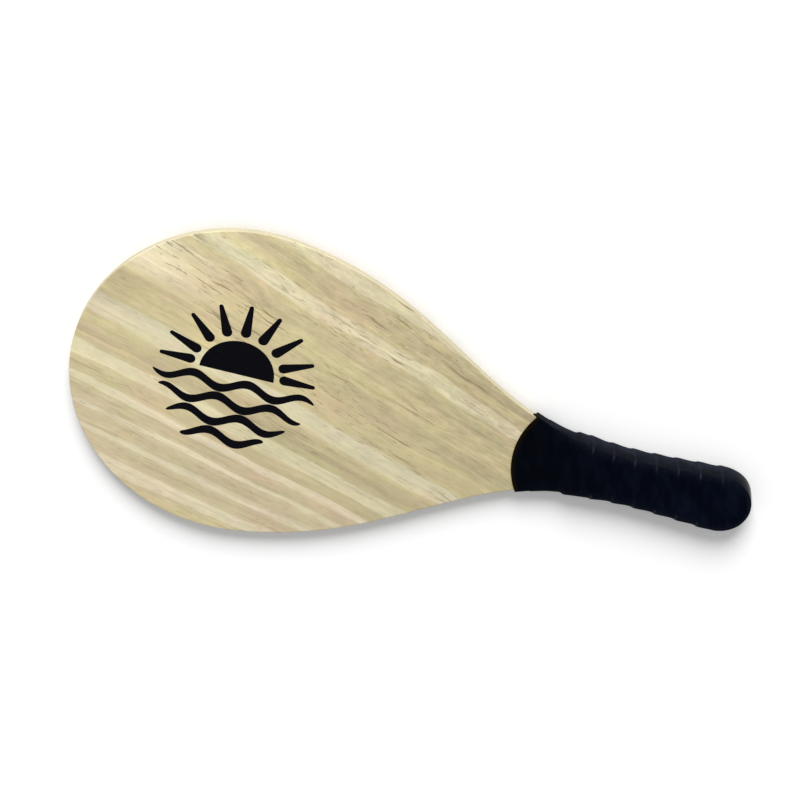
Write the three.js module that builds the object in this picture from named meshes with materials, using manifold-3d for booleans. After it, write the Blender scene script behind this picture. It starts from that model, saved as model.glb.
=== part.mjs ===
// A wooden beach racket: a plywood blade, two cheeks glued to its handle, a spiral winding and a rubber
// sleeve. Millimetres. X runs along the racket to the butt and Z out of the front face. All but the
// winding is mirrored across Y = 0, and the racket lies on the back of its grip at Z = 0.
import * as THREE from 'three';
import { mergeVertices } from 'three/addons/utils/BufferGeometryUtils.js';
import Module from 'manifold-3d';

const wasm = await Module();
wasm.setup();

// Outline of the racket. The waist is the handle's narrowest place, set back from the butt's end
const length = 480;
const headRadius = 118.5;
const waistSetback = 87;
const waistWidth = 31.4;
const buttRadius = 19;
const headEndAngle = THREE.MathUtils.degToRad(9);
const flareAngle = THREE.MathUtils.degToRad(3);

// How far each curve of the outline keeps its end's direction, as shares of the distance that it spans
const shoulderShare = 0.43;
const throatShare = 0.4;
const flareShare = 0.33;

// Blade
const plyThickness = 1;
const bladeEasing = 0.6;

// Cheeks of the handle, thin at their toes and full after a ramp
const cheekThickness = 4;
const cheekToeThickness = 0.8;
const cheekSetback = 18;
const cheekRampLength = 39;
const cheekRounding = 1.2;
const cheekRoundingShare = 0.85;

// What stands off the wood rounds its corners by this share of its standing off, on top of the wood's own
const skinRoundingShare = 0.4;

// Winding under the sleeve: one strip, thicker at its edge towards the blade
const windingSetback = 23;
const windingFirstStep = 6;
const windingPitch = 15.3;
const windingWidth = 14.4;
const windingLean = 3;
const windingThickEdge = 0.9;
const windingThinEdge = 0.4;
const windingLeastWidth = 3;
const windingGap = 0.25;

// Rubber sleeve, with a ridge over the thick edge of each turn, cut flat where the racket lies on it
const sleeveLength = 168;
const sleeveWall = 1.2;
const sleeveGap = 0.25;
const sleeveRise = 4;
const mouthRadius = 60;
const ridgeHeight = 0.8;
const ridgeRun = 0.8;
const ridgeRoot = 0.7;
const ridgeFaceShare = 0.15;
const ridgeFadeTurns = 0.25;
const restCut = 0.2;

// How finely curves are divided, and how far a cutting solid passes what it cuts
const headSteps = 36;
const flankSteps = 28;
const flareSteps = 4;
const buttSteps = 12;
const roundingSteps = 3;
const easingSteps = 2;
const rampSteps = 8;
const mouthSteps = 48;
const leastStation = 0.02;
const overrun = 5;

// The plies from the middle one outwards, on both sides of it
const plyKinds = [
  { name: 'centre_ply', colour: '#dccfa6' },
  { name: 'cross_ply', colour: '#c9b588' },
  { name: 'face_ply', colour: '#d8cca2' },
];

// Places along the racket, counted from the blade's tip
const sleeveOffset = sleeveGap + windingThickEdge + windingGap + sleeveWall;
const woodLength = length - sleeveOffset;
const waistX = length - waistSetback;
const buttX = woodLength - buttRadius;
const mouthX = length - sleeveLength;
const toeX = mouthX + cheekSetback;
const rampEndX = toeX + cheekRampLength;
const windingStartX = toeX + windingSetback;
const windingEndX = buttX;

// Heights
const bladeHalf = (plyKinds.length - 1 / 2) * plyThickness;
const handleHalf = bladeHalf + cheekThickness;
const middleZ = handleHalf + sleeveOffset + ridgeHeight * ridgeFaceShare - restCut;

// A smooth rise from 0 to 1 as a value passes from one mark to another
const rise = (value, from, to) => THREE.MathUtils.smoothstep(value, from, to);

// The round head, the flank down to the waist, the flare and the butt: the wood's edge on its +Y side.
// A station is a point of the edge and its outward normal
function makeWoodEdge() {
  const edge = arcStations(headRadius, headRadius, -Math.PI / 2, headEndAngle, headSteps);
  const butt = arcStations(buttX, buttRadius, -flareAngle, Math.PI / 2, buttSteps);
  const waist = { x: waistX, y: waistWidth / 2, nx: 0, ny: 1 };
  edge.push(...curveStations(edge[edge.length - 1], waist, shoulderShare, throatShare, flankSteps));
  edge.push(...curveStations(waist, butt[0], flareShare, flareShare, flareSteps), ...butt);
  for (const end of [edge[0], edge[edge.length - 1]]) {
    end.y = 0;
    end.ny = 0;
  }
  return distinct(edge);
}

// Stations on an arc centred on the axis, by the angle of their normals from +Y towards +X
function arcStations(centreX, radius, from, to, steps) {
  return Array.from({ length: steps + 1 }, (_, i) => {
    const angle = from + ((to - from) * i) / steps;
    const [nx, ny] = [Math.sin(angle), Math.cos(angle)];
    return { x: centreX + radius * nx, y: radius * ny, nx, ny };
  });
}

// Stations on a curve that leaves one station and meets another along their directions
function curveStations(from, to, fromShare, toShare, steps) {
  const [start, end] = [from, to].map(({ x, y }) => new THREE.Vector2(x, y));
  const span = start.distanceTo(end);
  const along = (station, share) => new THREE.Vector2(station.ny, -station.nx).multiplyScalar(span * share);
  const [lead, trail] = [start.clone().add(along(from, fromShare)), end.clone().sub(along(to, toShare))];
  const curve = new THREE.CubicBezierCurve(start, lead, trail, end);
  return Array.from({ length: steps + 1 }, (_, i) => {
    const [point, tangent] = [curve.getPoint(i / steps), curve.getTangent(i / steps)];
    return { x: point.x, y: point.y, nx: -tangent.y, ny: tangent.x };
  });
}

// The stations without those that lie on the one before
function distinct(stations) {
  const kept = [stations[0]];
  for (const station of stations) {
    const last = kept[kept.length - 1];
    if (Math.hypot(station.x - last.x, station.y - last.y) > leastStation) kept.push(station);
  }
  return kept;
}

const woodEdge = makeWoodEdge();

// The station of the wood's edge at x
function stationAt(x) {
  const i = Math.min(woodEdge.findLastIndex((station) => station.x <= x), woodEdge.length - 2);
  const [a, b] = [woodEdge[i], woodEdge[i + 1]];
  const share = (x - a.x) / (b.x - a.x);
  const mix = (name) => THREE.MathUtils.lerp(a[name], b[name], share);
  return { x, y: mix('y'), nx: mix('nx'), ny: mix('ny') };
}

// The wood's edge past start, with a station at each mark
function edgeFrom(start, marks) {
  const added = [start, ...marks].map(stationAt);
  const stations = [...added, ...woodEdge.filter((station) => station.x > start)];
  return distinct(stations.sort((a, b) => a.x - b.x));
}

const rampMarks = Array.from({ length: rampSteps }, (_, i) => toeX + (cheekRampLength * (i + 1)) / rampSteps);

// A cheek's height over the blade past its toe
function cheekHeight(x) {
  return THREE.MathUtils.lerp(cheekToeThickness, cheekThickness, rise(x, toeX, rampEndX));
}

// Half the wood's thickness, with a short slope in front of the toe for what lies over it
function woodHalf(x) {
  const slope = THREE.MathUtils.clamp(1 + (x - toeX) / cheekToeThickness, 0, 1);
  return bladeHalf + cheekHeight(x) * slope;
}

// Rounding of the wood's long edges
function woodRounding(x) {
  return x < toeX ? bladeEasing : Math.min(cheekRounding, cheekHeight(x) * cheekRoundingShare);
}

// Rounding of a face that stands off the wood by offset
function skinRounding(x, offset) {
  return woodRounding(x) + skinRoundingShare * offset;
}

// How far the sleeve's faces stand off the wood. It climbs over the winding's start, and inside it comes
// back to the wood past the winding's end, where the rubber is thicker
function outerOffset(x) {
  const climb = rise(x, windingStartX - sleeveRise, windingStartX - windingGap);
  return sleeveGap + sleeveWall + (windingThickEdge + windingGap) * climb;
}
function innerOffset(x) {
  const fall = rise(x, windingEndX + windingGap, windingEndX + windingGap + sleeveRise);
  return THREE.MathUtils.lerp(outerOffset(x) - sleeveWall, sleeveGap, fall);
}

// A geometry from vertices and triangles, with coinciding vertices merged and empty triangles dropped
function meshGeometry(vertices, triangles) {
  const raw = new THREE.BufferGeometry();
  raw.setAttribute('position', new THREE.Float32BufferAttribute(vertices.flat(), 3));
  raw.setIndex(triangles.flat());
  const merged = mergeVertices(raw);
  const corners = Array.from(merged.index.array);
  const kept = corners.filter((_, i) => {
    const [a, b, c] = corners.slice(i - (i % 3), i - (i % 3) + 3);
    return a !== b && b !== c && c !== a;
  });
  merged.setIndex(kept);
  return merged;
}

// A closed slab, mirrored across Y = 0. levelsAt gives a station's levels from bottom to top, each an
// inset from the edge, negative where it stands out, and a height
function slab(stations, levelsAt) {
  const rings = stations.map((station) => levelsAt(station).map(([inset, z]) => {
    const [x, y] = [station.x - station.nx * inset, station.y - station.ny * inset];
    return [[x, y, z], [x, -y, z]];
  }));
  const top = rings[0].length - 1;
  const last = rings.length - 1;
  const at = (i, level, side) => 2 * (i * (top + 1) + level) + side;
  const triangles = [];
  const quad = (a, b, c, d) => triangles.push([a, b, c], [a, c, d]);
  for (let i = 0; i < last; i += 1) {
    for (let k = 0; k < top; k += 1) {
      quad(at(i, k, 0), at(i, k + 1, 0), at(i + 1, k + 1, 0), at(i + 1, k, 0));
      quad(at(i, k, 1), at(i + 1, k, 1), at(i + 1, k + 1, 1), at(i, k + 1, 1));
    }
    quad(at(i, top, 0), at(i, top, 1), at(i + 1, top, 1), at(i + 1, top, 0));
    quad(at(i, 0, 0), at(i + 1, 0, 0), at(i + 1, 0, 1), at(i, 0, 1));
  }
  for (let k = 0; k < top; k += 1) {
    quad(at(0, k, 0), at(0, k, 1), at(0, k + 1, 1), at(0, k + 1, 0));
    quad(at(last, k, 0), at(last, k + 1, 0), at(last, k + 1, 1), at(last, k, 1));
  }
  return meshGeometry(rings.flat(2), triangles);
}

// Levels of an edge that is rounded up to the height z
function roundedTop(offset, z, radius, steps) {
  return Array.from({ length: steps + 1 }, (_, i) => {
    const angle = (Math.PI / 2) * (i / steps);
    return [radius * (1 - Math.cos(angle)) - offset, z - radius * (1 - Math.sin(angle))];
  });
}

// The same levels below the racket's middle plane
const mirrored = (levels) => levels.map(([inset, z]) => [inset, 2 * middleZ - z]).reverse();

// One ply of the blade and of its tongue in the handle, counted from the middle. The outermost plies
// have their outer edge eased
function plyGeometry(place) {
  const high = middleZ + (Math.abs(place) + 1 / 2) * plyThickness;
  const outermost = Math.abs(place) === plyKinds.length - 1;
  const upper = outermost ? roundedTop(0, high, bladeEasing, easingSteps) : [[0, high]];
  const levels = [[0, high - plyThickness], ...upper];
  return slab(woodEdge, () => (place < 0 ? mirrored(levels) : levels));
}

// A cheek: flat on the blade and rounded along its outer edge
function cheekGeometry(front) {
  const glueZ = middleZ + bladeHalf;
  return slab(edgeFrom(toeX, rampMarks), ({ x }) => {
    const levels = [[0, glueZ], ...roundedTop(0, glueZ + cheekHeight(x), woodRounding(x), roundingSteps)];
    return front ? levels : mirrored(levels);
  });
}

// The columns of the grip's cross-section, from the middle of the +Y side over the front face and back.
// Each has a corner, in signs of the half sides, and its direction from there
function makeColumns() {
  const quarter = Math.PI / 2;
  const wayAt = (turns) => [Math.cos(turns * quarter), Math.sin(turns * quarter)];
  const columns = [0, 1, 2, 3].flatMap((q) => {
    const corner = wayAt(q + 1 / 2).map(Math.sign);
    const ways = Array.from({ length: roundingSteps + 1 }, (_, i) => wayAt(q + i / roundingSteps));
    const next = wayAt(q + 1).map(Math.round);
    return [...ways.map((way) => ({ corner, way })), { corner: next, way: next }];
  });
  return [columns.pop(), ...columns];
}

const columns = makeColumns();

// The point of a column at x, on a face that stands off the wood by offset
function gripPoint(x, { corner, way }, offset) {
  const radius = skinRounding(x, offset);
  const y = corner[0] * (stationAt(x).y + offset - radius) + radius * way[0];
  const z = corner[1] * (woodHalf(x) + offset - radius) + radius * way[1];
  return [x, y, middleZ + z];
}

// Each column's share of the way round the handle
function makeTurnShares() {
  const ring = columns.map((column) => new THREE.Vector3(...gripPoint(rampEndX, column, 0)));
  const lengths = ring.map((point, i) => point.distanceTo(ring[(i + 1) % ring.length]));
  const sums = lengths.map((_, i) => lengths.slice(0, i + 1).reduce((a, b) => a + b));
  return [0, ...sums.slice(0, -1)].map((sum) => sum / sums[sums.length - 1]);
}

const turnShares = makeTurnShares();

// Step i of the winding: its column, its turns so far and the x of its thick edge
function windingStep(i) {
  const place = THREE.MathUtils.euclideanModulo(i, columns.length);
  const turns = (i - place) / columns.length + turnShares[place];
  const lean = (windingLean * (1 - Math.cos(2 * Math.PI * turns))) / 2;
  return { column: columns[place], turns, x: windingStartX + windingFirstStep + windingPitch * turns + lean };
}

// The steps at which a strip of some width covers more than the least width of the wound stretch, with
// the ends of what it covers
function stepsOver(width, least) {
  const before = 2 * columns.length;
  const most = columns.length * Math.ceil((windingEndX - windingStartX + width) / windingPitch);
  const steps = Array.from({ length: before + most }, (_, i) => {
    const step = windingStep(i - before);
    return { ...step, low: Math.max(step.x, windingStartX), high: Math.min(step.x + width, windingEndX) };
  });
  return steps.filter(({ low, high }) => high - low > least);
}

// A strip wound round the grip. Each section is a column and a closed profile of points, each an x and
// an offset from the wood
function woundGeometry(sections) {
  const points = sections.map(({ column, profile }) => {
    return profile.map(([x, offset]) => gripPoint(x, column, offset));
  });
  const count = points[0].length;
  const end = (points.length - 1) * count;
  const triangles = [];
  for (let i = 0; i < end; i += count) {
    for (let k = 0; k < count; k += 1) {
      const [a, b] = [i + k, i + ((k + 1) % count)];
      triangles.push([a, b, b + count], [a, b + count, a + count]);
    }
  }
  for (let k = 1; k + 1 < count; k += 1) triangles.push([0, k + 1, k], [end, end + k, end + k + 1]);
  return { geometry: meshGeometry(points.flat(), triangles), points };
}

// The least distance between points of a wound strip that lie half a turn or more apart along it
function leastGap(points) {
  const apart = columns.length / 2;
  const distances = points.flatMap((section, i) => {
    const others = points.slice(i + apart).flat();
    return section.map((p) => others.reduce((least, q) => Math.min(least, distance(p, q)), Infinity));
  });
  return Math.min(...distances);
}
const distance = (p, q) => Math.hypot(p[0] - q[0], p[1] - q[1], p[2] - q[2]);

// The winding: one strip, trimmed square at both ends of the wound stretch
function windingGeometry() {
  const taper = (windingThickEdge - windingThinEdge) / windingWidth;
  const sections = stepsOver(windingWidth, windingLeastWidth).map(({ column, x, low, high }) => {
    const places = [low, (low + high) / 2, high];
    const inner = places.map((place) => [place, windingGap]);
    const outer = places.map((place) => [place, windingGap + windingThickEdge - taper * (place - x)]);
    return { column, profile: [...inner, ...outer.reverse()] };
  });
  const { geometry, points } = woundGeometry(sections);
  console.log('least gap of the winding to itself:', leastGap(points).toFixed(2), 'mm');
  return geometry;
}

// The ridge that the winding raises in the sleeve, rooted in its wall, lower on the flat faces and faded
// at both ends
function ridgeGeometry() {
  const steps = stepsOver(windingPitch, 2 * ridgeRun).filter(({ x, low }) => x >= low);
  const [first, last] = [steps[0].turns, steps[steps.length - 1].turns];
  const root = sleeveOffset - ridgeRoot;
  return woundGeometry(steps.map(({ column, turns, x, high }) => {
    const fade = rise(turns, first, first + ridgeFadeTurns) * (1 - rise(turns, last - ridgeFadeTurns, last));
    const faceShare = THREE.MathUtils.lerp(1, ridgeFaceShare, Math.abs(column.way[1]) ** 3);
    const crest = THREE.MathUtils.lerp(ridgeRoot / 2, ridgeRoot + ridgeHeight * faceShare, fade);
    return { column, profile: [[x, root], [high, root], [x + ridgeRun, root + crest]] };
  })).geometry;
}

// A rounded body over the handle that stands off the wood by offsetAt
function gripBody(start, offsetAt) {
  const climbMarks = [windingStartX - sleeveRise, windingStartX - sleeveRise / 2, windingStartX - windingGap];
  const fallMarks = [windingEndX + windingGap, windingEndX + windingGap + sleeveRise / 2];
  const toeMarks = [toeX - cheekToeThickness - sleeveGap, toeX - sleeveGap];
  return slab(edgeFrom(start, [...toeMarks, ...rampMarks, ...climbMarks, ...fallMarks]), ({ x }) => {
    const offset = offsetAt(x);
    const z = middleZ + woodHalf(x + sleeveGap) + offset;
    const upper = roundedTop(offset, z, skinRounding(x, offset), roundingSteps);
    return [...mirrored(upper), ...upper];
  });
}

// Everything behind the arc of the sleeve's mouth and above the plane that the grip lies on
function keptSpace() {
  const [centre, end] = [mouthX + mouthRadius, length + overrun];
  const shape = new THREE.Shape();
  shape.moveTo(end, -mouthRadius);
  shape.lineTo(end, mouthRadius);
  shape.lineTo(centre, mouthRadius);
  shape.absarc(centre, 0, mouthRadius, Math.PI / 2, (3 * Math.PI) / 2, false);
  const depth = 2 * (handleHalf + sleeveOffset) + overrun;
  return new THREE.ExtrudeGeometry(shape, { depth, bevelEnabled: false, curveSegments: mouthSteps });
}

// A solid for joining and cutting, and a solid's geometry
function solidOf(geometry) {
  geometry.deleteAttribute('normal');
  geometry.deleteAttribute('uv');
  const merged = mergeVertices(geometry);
  const vertProperties = new Float32Array(merged.attributes.position.array);
  const triVerts = new Uint32Array(merged.index.array);
  return new wasm.Manifold(new wasm.Mesh({ numProp: 3, vertProperties, triVerts }));
}
function geometryOf(solid) {
  const { vertProperties, triVerts } = solid.getMesh();
  const geometry = new THREE.BufferGeometry();
  geometry.setAttribute('position', new THREE.BufferAttribute(new Float32Array(vertProperties), 3));
  geometry.setIndex(new THREE.BufferAttribute(new Uint32Array(triVerts), 1));
  return geometry;
}

// The sleeve: a rubber skin open at its mouth, with the ridge standing out of it
function sleeveGeometry() {
  const skin = solidOf(gripBody(mouthX - overrun, outerOffset)).add(solidOf(ridgeGeometry()));
  const hollow = solidOf(gripBody(mouthX - 2 * overrun, innerOffset));
  return geometryOf(skin.intersect(solidOf(keptSpace())).subtract(hollow));
}

const racket = new THREE.Group();
racket.position.x = -length / 2;

function addPiece(name, geometry, color, roughness) {
  const flat = geometry.toNonIndexed();
  flat.computeVertexNormals();
  const mesh = new THREE.Mesh(flat, new THREE.MeshStandardMaterial({ color, roughness, metalness: 0 }));
  mesh.name = name;
  racket.add(mesh);
}

plyKinds.forEach(({ name, colour }, place) => {
  const sides = place === 0 ? [['', 0]] : [['_front', place], ['_back', -place]];
  for (const [side, at] of sides) addPiece(name + side, plyGeometry(at), colour, 0.62);
});
addPiece('handle_cheek_front', cheekGeometry(true), '#cdb98c', 0.65);
addPiece('handle_cheek_back', cheekGeometry(false), '#cdb98c', 0.65);
addPiece('grip_winding', windingGeometry(), '#2b2c30', 0.9);
addPiece('grip_sleeve', sleeveGeometry(), '#15171f', 0.55);

export default racket;
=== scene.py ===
"""Looks of a wooden beach racket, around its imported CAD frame.

Shapes are worked out in millimetres, with x from the blade's tip, and new_mesh turns them into metres in
the row frame. Materials, camera and lights are in metres in the row frame, apart from the veneer's bands."""
import math

import bmesh
import bpy
import numpy as np
from mathutils import Matrix, Vector


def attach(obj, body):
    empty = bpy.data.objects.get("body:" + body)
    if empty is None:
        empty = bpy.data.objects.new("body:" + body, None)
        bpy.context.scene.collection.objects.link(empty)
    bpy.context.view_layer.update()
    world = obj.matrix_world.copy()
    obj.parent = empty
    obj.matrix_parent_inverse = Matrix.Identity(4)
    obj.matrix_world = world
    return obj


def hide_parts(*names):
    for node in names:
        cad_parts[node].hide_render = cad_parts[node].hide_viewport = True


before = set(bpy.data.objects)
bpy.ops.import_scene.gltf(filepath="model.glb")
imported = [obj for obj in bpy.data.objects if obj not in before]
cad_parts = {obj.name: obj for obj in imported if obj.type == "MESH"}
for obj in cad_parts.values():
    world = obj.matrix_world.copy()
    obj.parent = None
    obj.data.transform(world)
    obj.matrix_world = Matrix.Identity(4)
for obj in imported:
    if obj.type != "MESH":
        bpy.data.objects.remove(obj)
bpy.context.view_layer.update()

MM = 0.001

# The CAD's outline
LENGTH = 480
HEAD_RADIUS = 118.5
WAIST_SETBACK = 87
WAIST_WIDTH = 31.4
BUTT_RADIUS = 19
HEAD_END_ANGLE = math.radians(9)
FLARE_ANGLE = math.radians(3)
SHOULDER_SHARE = 0.43
THROAT_SHARE = 0.4
FLARE_SHARE = 0.33

# The CAD's plies and cheeks. A ply's place counts from the middle one, and OUTERMOST is the front veneer's.
PLY = 1.0
OUTERMOST = 2
BLADE_HALF = 2.5
BLADE_EASING = 0.6
CHEEK_THICKNESS = 4
CHEEK_TOE = 0.8
CHEEK_SETBACK = 18
CHEEK_RAMP = 39
CHEEK_ROUNDING = 1.2
CHEEK_ROUNDING_SHARE = 0.85
SKIN_ROUNDING_SHARE = 0.4

# The CAD's winding and sleeve
WINDING_SETBACK = 23
WINDING_FIRST = 6
WINDING_PITCH = 15.3
WINDING_WIDTH = 14.4
WINDING_LEAN = 3
WINDING_THICK = 0.9
WINDING_THIN = 0.4
WINDING_LEAST = 3
GAP = 0.25
SLEEVE_LENGTH = 168
SLEEVE_WALL = 1.2
SLEEVE_RISE = 4
MOUTH_RADIUS = 60
RIDGE_HEIGHT = 0.8
RIDGE_FACE_SHARE = 0.15
RIDGE_FADE_TURNS = 0.25
REST_CUT = 0.2

# Places that follow from these
SLEEVE_OFFSET = GAP + WINDING_THICK + GAP + SLEEVE_WALL
WOOD_LENGTH = LENGTH - SLEEVE_OFFSET
WAIST_X = LENGTH - WAIST_SETBACK
BUTT_X = WOOD_LENGTH - BUTT_RADIUS
MOUTH_X = LENGTH - SLEEVE_LENGTH
TOE_X = MOUTH_X + CHEEK_SETBACK
RAMP_END_X = TOE_X + CHEEK_RAMP
WINDING_START_X = TOE_X + WINDING_SETBACK
WINDING_END_X = BUTT_X
MIDDLE_Z = BLADE_HALF + CHEEK_THICKNESS + SLEEVE_OFFSET + RIDGE_HEIGHT * RIDGE_FACE_SHARE - REST_CUT

# How finely curves are divided here
HEAD_STEPS = 120
FLANK_STEPS = 110
FLARE_STEPS = 16
BUTT_STEPS = 28
EASING_STEPS = 6

# Meshes: points closer than this many metres merge, and an edge turned by more than so many degrees is sharp
MERGE_DISTANCE = 1e-7
WOOD_SHARP = 40
TAPE_SHARP = 40
RUBBER_SHARP = 75
INK_SHARP = 30

# Ply edges: a fine groove between neighbours, how far each kind of veneer is sunk, and where the flat begins
EDGE_GROOVE = 0.07
EDGE_SINKS = {"centre_ply": 0.0, "cross_ply": 0.05, "face_ply": 0.0}
FLAT_MARGIN = 0.6

# Winding: the turns between which its rows are tried, by how many columns they step on, and the points across
# a row
WINDING_TURNS = (-2, 9)
WINDING_COLUMN_STEP = 2
WINDING_POINTS = 5

# Sleeve: how far apart its rows of points are, outside and inside
ROW_STEP = 0.3
INNER_ROW_STEP = 2.5

# The sleeve's rows near the mouth: where they end, how many there are, which of them the inside has, and the
# passes that find the mouth's arc
MOUTH_ROWS_END = 345
MOUTH_ROWS = 60
MOUTH_INNER_STEP = 6
MOUTH_PASSES = 8

# Steps round a quarter of the grip's section: half the side, a corner and half the face, where they crowd
# towards the corner
SIDE_STEPS = 8
ROUND_STEPS = 8
FACE_STEPS = 15
FACE_CROWDING = 1.7

# The lip at the sleeve's mouth: its rows and bulge, its gap to the wood, which widens over a run, and the run
# of its tint
LIP_ROWS = 6
LIP_BULGE = 0.45
LIP_GAP = 0.05
LIP_GAP_RUN = 10
LIP_TINT = 2.6

# How the rubber bulges on the sides and is crowned on the faces, from a setback past the mouth on
SIDE_BULGE = 0.35
FACE_CROWN = 0.3
CROWN_POWER = 5
PLUMP_SETBACK = 8

# Ridges: the run of their rise, where in a turn their fall ends, and their height on the sides and corners
RIDGE_RISE = 3.2
RIDGE_FALL_END = 0.9
RIDGE_SIDE_SHARE = 0.65
RIDGE_CORNER_SHARE = 0.3
RIDGE_SIDE_POWER = 3

# The ridges' crests, past the winding's thick edge, and the uneven nubs where they cross the corners
CREST_START = 1.4
CREST_RISE = 0.9
CREST_END = 3.0
NUB_HEIGHT = 0.15
NUB_POWER = 11
NUB_UNEVEN = 0.3
NUB_VARIATION = 2.4

# How much the rubber is made paler: worn at the corners, and worn with a painted highlight on the ridges'
# crests at the sides
CORNER_WEAR = 0.12
CREST_WEAR_AND_HIGHLIGHT = 0.3
WEAR_POWER = 9

# The little thorn of rubber at the mouth: its place and width as shares of the way round, how far it reaches
# and lifts, and how fast it fades from the mouth
THORN_PLACE = 0.03
THORN_WIDTH = 0.022
THORN_REACH = 3.0
THORN_LIFT = 1.3
THORN_FADE = 2.5


def smooth(value, low, high):
    """A smooth rise from 0 to 1 as value passes from low to high."""
    t = np.clip((value - low) / (high - low), 0, 1)
    return t * t * (3 - 2 * t)


def arc(centre, radius, start, end, steps):
    """Rows of x, y and the outward normal on an arc, by the angle of the normal from +Y towards +X."""
    a = np.linspace(start, end, steps + 1)
    return np.stack([centre + radius * np.sin(a), radius * np.cos(a), np.sin(a), np.cos(a)], 1)


def curve(a, b, a_share, b_share, steps):
    """Rows on a cubic curve from row a to row b, keeping their directions over shares of its span."""
    span = math.hypot(b[0] - a[0], b[1] - a[1])
    along_a, along_b = np.array([a[3], -a[2]]), np.array([b[3], -b[2]])
    p = [a[:2], a[:2] + along_a * span * a_share, b[:2] - along_b * span * b_share, b[:2]]
    t = np.linspace(0, 1, steps + 1)[:, None]
    s = 1 - t
    point = s**3 * p[0] + 3 * s * s * t * p[1] + 3 * s * t * t * p[2] + t**3 * p[3]
    way = s * s * (p[1] - p[0]) + 2 * s * t * (p[2] - p[1]) + t * t * (p[3] - p[2])
    way /= np.linalg.norm(way, axis=1, keepdims=True)
    return np.hstack([point, -way[:, 1:], way[:, :1]])


def make_edge():
    """The wood's edge on its +Y side, from the tip to the butt."""
    head = arc(HEAD_RADIUS, HEAD_RADIUS, -math.pi / 2, HEAD_END_ANGLE, HEAD_STEPS)
    butt = arc(BUTT_X, BUTT_RADIUS, -FLARE_ANGLE, math.pi / 2, BUTT_STEPS)
    waist = np.array([WAIST_X, WAIST_WIDTH / 2, 0.0, 1.0])
    flank = curve(head[-1], waist, SHOULDER_SHARE, THROAT_SHARE, FLANK_STEPS)
    flare = curve(waist, butt[0], FLARE_SHARE, FLARE_SHARE, FLARE_STEPS)
    edge = np.vstack([head, flank[1:], flare[1:], butt[1:]])
    edge[[0, -1], 1] = 0
    edge[[0, -1], 3] = 0
    return edge


EDGE = make_edge()
BUTT_ROWS = EDGE[-BUTT_STEPS - 1:]


def edge_at(x):
    """y and the outward normal of the wood's edge at x."""
    return [np.interp(x, EDGE[:, 0], EDGE[:, k]) for k in (1, 2, 3)]


def cheek_height(x):
    """The cheeks' thickness at x, from their toes on."""
    return CHEEK_TOE + (CHEEK_THICKNESS - CHEEK_TOE) * smooth(x, TOE_X, RAMP_END_X)


def wood_half(x):
    """Half the wood's thickness, with a short slope in front of the cheeks' toes."""
    return BLADE_HALF + cheek_height(x) * np.clip(1 + (x - TOE_X) / CHEEK_TOE, 0, 1)


def wood_rounding(x):
    """The rounding of the wood's corners: the blade's easing, or the cheeks' own."""
    cheeks = np.minimum(CHEEK_ROUNDING, cheek_height(x) * CHEEK_ROUNDING_SHARE)
    return np.where(x < TOE_X, BLADE_EASING, cheeks)


def outer_offset(x):
    """How far the sleeve's outside stands off the wood, without its ridges."""
    climb = smooth(x, WINDING_START_X - SLEEVE_RISE, WINDING_START_X - GAP)
    return GAP + SLEEVE_WALL + (WINDING_THICK + GAP) * climb


def inner_offset(x):
    """The sleeve's inside: on the wood at its mouth, over the winding, and on the wood again at the butt."""
    painted_fall = smooth(x, WINDING_END_X + GAP, WINDING_END_X + GAP + SLEEVE_RISE)
    inside = outer_offset(x) - SLEEVE_WALL
    snug = LIP_GAP + (GAP - LIP_GAP) * smooth(x, MOUTH_X, MOUTH_X + LIP_GAP_RUN)
    return np.where(x < WINDING_START_X - SLEEVE_RISE, snug, inside + (GAP - inside) * painted_fall)


def make_columns():
    """Columns of the grip's section, round from the middle of its +Y side, each with a kind, a value and its
    signs across and up. On a side the value is the share of the way up from its middle, on a round corner
    the angle from the side to the face, and on a face the share of the way out from its middle."""
    half_side = [("side", s) for s in np.linspace(0, 1, SIDE_STEPS + 1)[:-1]]
    rounding = [("round", a) for a in np.linspace(0, math.pi / 2, ROUND_STEPS + 1)]
    half_face = [("face", 1 - s**FACE_CROWDING) for s in np.linspace(0, 1, FACE_STEPS + 1)[1:]]
    quarter = half_side + rounding + half_face
    columns = [(kind, value, 1, 1) for kind, value in quarter]
    columns += [(kind, value, -1, 1) for kind, value in quarter[-2::-1]]
    columns += [(kind, value, -1, -1) for kind, value in quarter[1:]]
    columns += [(kind, value, 1, -1) for kind, value in quarter[-2:0:-1]]
    return columns


# The columns as one array each. WAY is the angle from the side to the face, SIDE the share up the side, FACE
# the share out across the face, and CORNER a number that differs between the four corners.
COLUMNS = make_columns()
KIND = np.array([c[0] for c in COLUMNS])
VALUE = np.array([c[1] for c in COLUMNS], float)
ACROSS = np.array([c[2] for c in COLUMNS], float)
UP = np.array([c[3] for c in COLUMNS], float)
WAY = np.where(KIND == "round", VALUE, np.where(KIND == "side", 0, math.pi / 2))
FACE = np.where(KIND == "face", VALUE, 1.0)
SIDE = np.where(KIND == "side", VALUE, 1.0)
CORNER = ACROSS + 2 * UP


def section(x, y, nx, ny, offset, plump=0.0):
    """Points of a grip section over the wood's edge at x, y, for every column. x and offset are one value or
    one per column, and plump is how far the bulge of the sides and the crown of the faces are shown."""
    radius = wood_rounding(x) + SKIN_ROUNDING_SHARE * offset
    inset = radius * (1 - np.cos(WAY)) - offset - plump * SIDE_BULGE * (1 - SIDE**2) * ny
    px = x - nx * inset
    py = ACROSS * (y - ny * inset) * FACE
    pz = (wood_half(x) + offset - radius * (1 - np.sin(WAY))) * SIDE
    pz -= plump * FACE_CROWN * FACE**CROWN_POWER * np.sin(WAY)
    return np.stack([px, py, MIDDLE_Z + UP * pz], -1)


def make_turn_shares():
    """Each column's share of the way round the handle."""
    ring = section(RAMP_END_X, *edge_at(RAMP_END_X), 0)
    steps = np.linalg.norm(np.roll(ring, -1, 0) - ring, axis=1)
    return np.concatenate([[0], np.cumsum(steps)[:-1]]) / steps.sum()


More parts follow.
